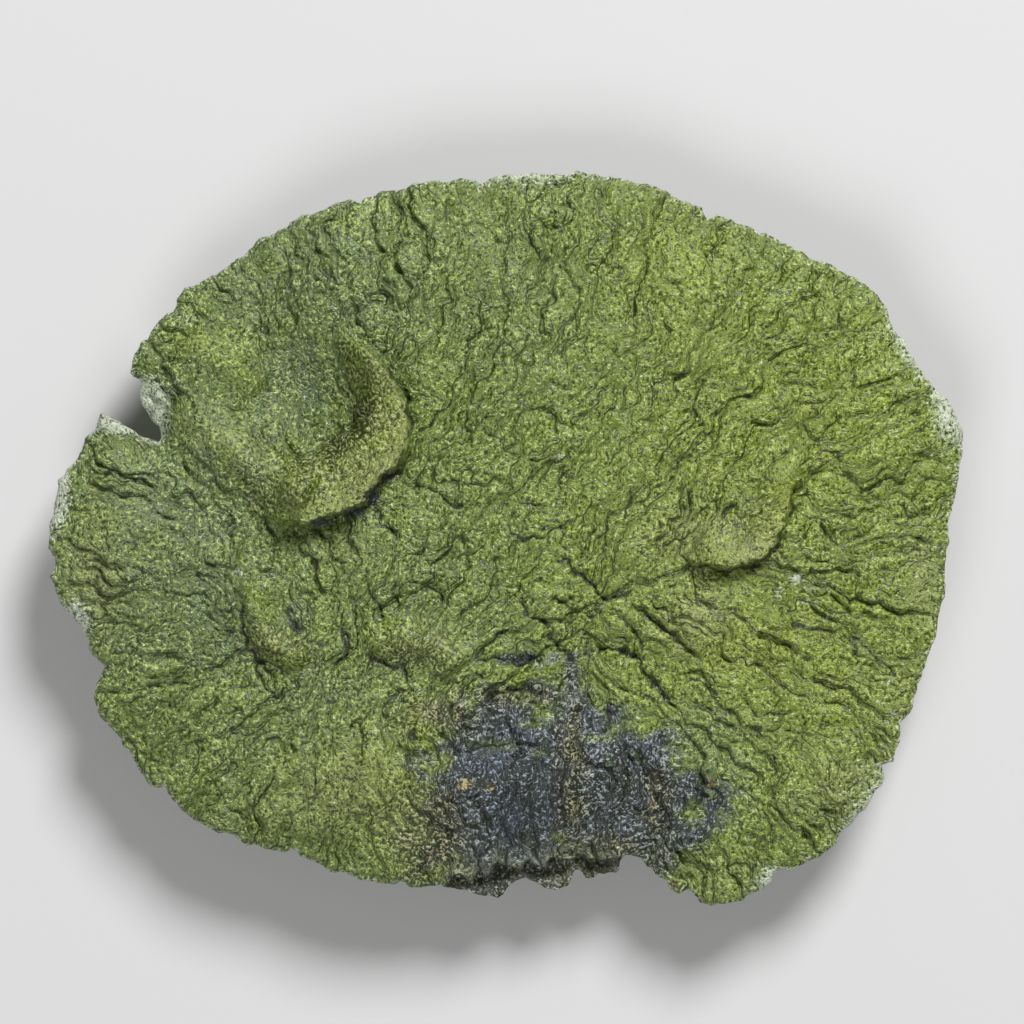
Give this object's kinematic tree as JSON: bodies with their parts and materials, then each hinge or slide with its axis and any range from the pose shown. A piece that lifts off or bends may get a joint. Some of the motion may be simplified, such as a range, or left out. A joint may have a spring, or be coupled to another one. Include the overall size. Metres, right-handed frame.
{
  "type": "moldavite",
  "caption": "Thin disc-shaped piece of natural green impact glass with a finely wrinkled, fluted face, a C-shaped fold and a notched rim, lying on its back.",
  "frame": {"origin": "centre of the bounding box's bottom, on the surface that the stone lies on", "axes": "+X to the right and +Y up across the sculpted face as it is seen from above, +Z out of that face"},
  "size_m": [0.0456, 0.0368, 0.0083],
  "materials": {
    "moldavite_glass": "satin, finely wrinkled natural surface"
  },
  "bodies": {
    "root": {"moldavite": "moldavite_glass"}
  },
  "joints": []
}
